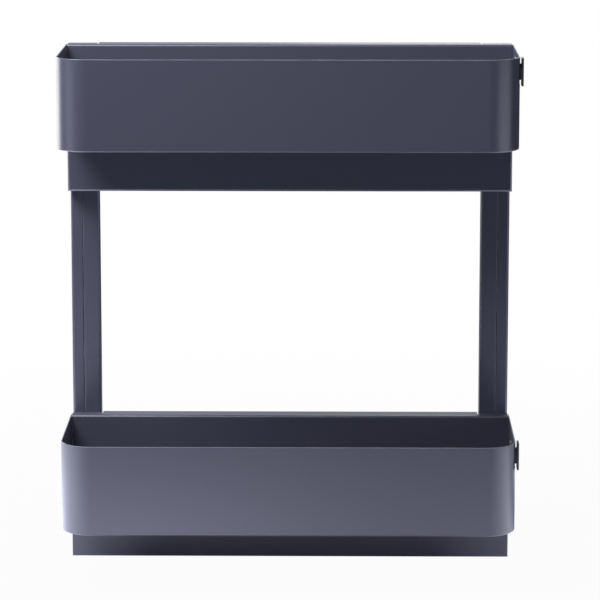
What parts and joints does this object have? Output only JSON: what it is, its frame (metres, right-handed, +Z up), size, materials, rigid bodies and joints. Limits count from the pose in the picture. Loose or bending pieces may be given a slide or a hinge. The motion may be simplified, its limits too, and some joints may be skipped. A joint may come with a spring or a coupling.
{
  "type": "pull-out bottle rack",
  "caption": "Two-level pull-out bottle rack of folded sheet steel: open bins with round front corners hang on carrier panels that ride on telescopic ball runners.",
  "frame": {"origin": "middle of the lower runner's wall face, on the plane of the cabinet's side wall", "axes": "+X towards the end that is pulled out of the cabinet, +Y into the cabinet's side wall, +Z up"},
  "size_m": [0.4635, 0.1818, 0.543],
  "materials": {
    "coat": "satin powder coat, dark blue-grey",
    "zinc": "zinc-plated, cold-rolled",
    "steel": "plain bright steel",
    "rubber": "matt black rubber",
    "clip": "moulded, dark grey"
  },
  "bodies": {
    "wall_fixed": {"lower_runner_wall_channel": "zinc", "upper_runner_wall_channel": "zinc", "lower_runner_bumper": "rubber", "upper_runner_bumper": "rubber"},
    "rack": {"lower_panel": "coat", "upper_panel": "coat", "left_post": "coat", "right_post": "coat", "lower_left_post_bracket": "coat", "upper_left_post_bracket": "coat", "lower_right_post_bracket": "coat", "upper_right_post_bracket": "coat", "lower_left_post_bottom_screw": "steel", "lower_left_post_top_screw": "steel", "upper_left_post_bottom_screw": "steel", "upper_left_post_top_screw": "steel", "lower_right_post_bottom_screw": "steel", "lower_right_post_top_screw": "steel", "upper_right_post_bottom_screw": "steel", "upper_right_post_top_screw": "steel", "lower_rear_runner_bracket": "coat", "lower_front_runner_bracket": "coat", "upper_rear_runner_bracket": "coat", "upper_front_runner_bracket": "coat", "lower_rear_runner_screw": "steel", "lower_front_runner_screw": "steel", "upper_rear_runner_screw": "steel", "upper_front_runner_screw": "steel", "lower_runner_rack_channel": "zinc", "upper_runner_rack_channel": "zinc"},
    "lower_middle": {"lower_runner_middle_channel": "zinc"},
    "upper_middle": {"upper_runner_middle_channel": "zinc"},
    "lower_outer_balls": {"lower_runner_outer_cage": "steel"},
    "upper_outer_balls": {"upper_runner_outer_cage": "steel"},
    "lower_inner_balls": {"lower_runner_inner_cage": "steel"},
    "upper_inner_balls": {"upper_runner_inner_cage": "steel"},
    "lower_bin": {"lower_bin_band": "coat", "lower_bin_tray": "coat", "lower_end_clip": "clip"},
    "upper_bin": {"upper_bin_band": "coat", "upper_bin_tray": "coat", "upper_end_clip": "clip"}
  },
  "joints": [
    {"name": "pull_out", "type": "slide", "parent": "wall_fixed", "child": "rack", "axis": [1, 0, 0], "range_m": [0, 0.42]},
    {"name": "lower_middle_slide", "type": "slide", "parent": "wall_fixed", "child": "lower_middle", "axis": [1, 0, 0], "range_m": [0, 0.21]},
    {"name": "upper_middle_slide", "type": "slide", "parent": "wall_fixed", "child": "upper_middle", "axis": [1, 0, 0], "range_m": [0, 0.21]},
    {"name": "lower_outer_roll", "type": "slide", "parent": "wall_fixed", "child": "lower_outer_balls", "axis": [1, 0, 0], "range_m": [0, 0.105]},
    {"name": "upper_outer_roll", "type": "slide", "parent": "wall_fixed", "child": "upper_outer_balls", "axis": [1, 0, 0], "range_m": [0, 0.105]},
    {"name": "lower_inner_roll", "type": "slide", "parent": "wall_fixed", "child": "lower_inner_balls", "axis": [1, 0, 0], "range_m": [0, 0.315]},
    {"name": "upper_inner_roll", "type": "slide", "parent": "wall_fixed", "child": "upper_inner_balls", "axis": [1, 0, 0], "range_m": [0, 0.315]},
    {"name": "lower_bin_lift", "type": "slide", "parent": "rack", "child": "lower_bin", "axis": [0, 0, 1], "range_m": [0, 0.03]},
    {"name": "upper_bin_lift", "type": "slide", "parent": "rack", "child": "upper_bin", "axis": [0, 0, 1], "range_m": [0, 0.03]}
  ],
  "couplings": [
    {"joint": "lower_middle_slide", "follows": "pull_out", "ratio": 0.5},
    {"joint": "upper_middle_slide", "follows": "pull_out", "ratio": 0.5},
    {"joint": "lower_outer_roll", "follows": "pull_out", "ratio": 0.25},
    {"joint": "upper_outer_roll", "follows": "pull_out", "ratio": 0.25},
    {"joint": "lower_inner_roll", "follows": "pull_out", "ratio": 0.75},
    {"joint": "upper_inner_roll", "follows": "pull_out", "ratio": 0.75}
  ]
}
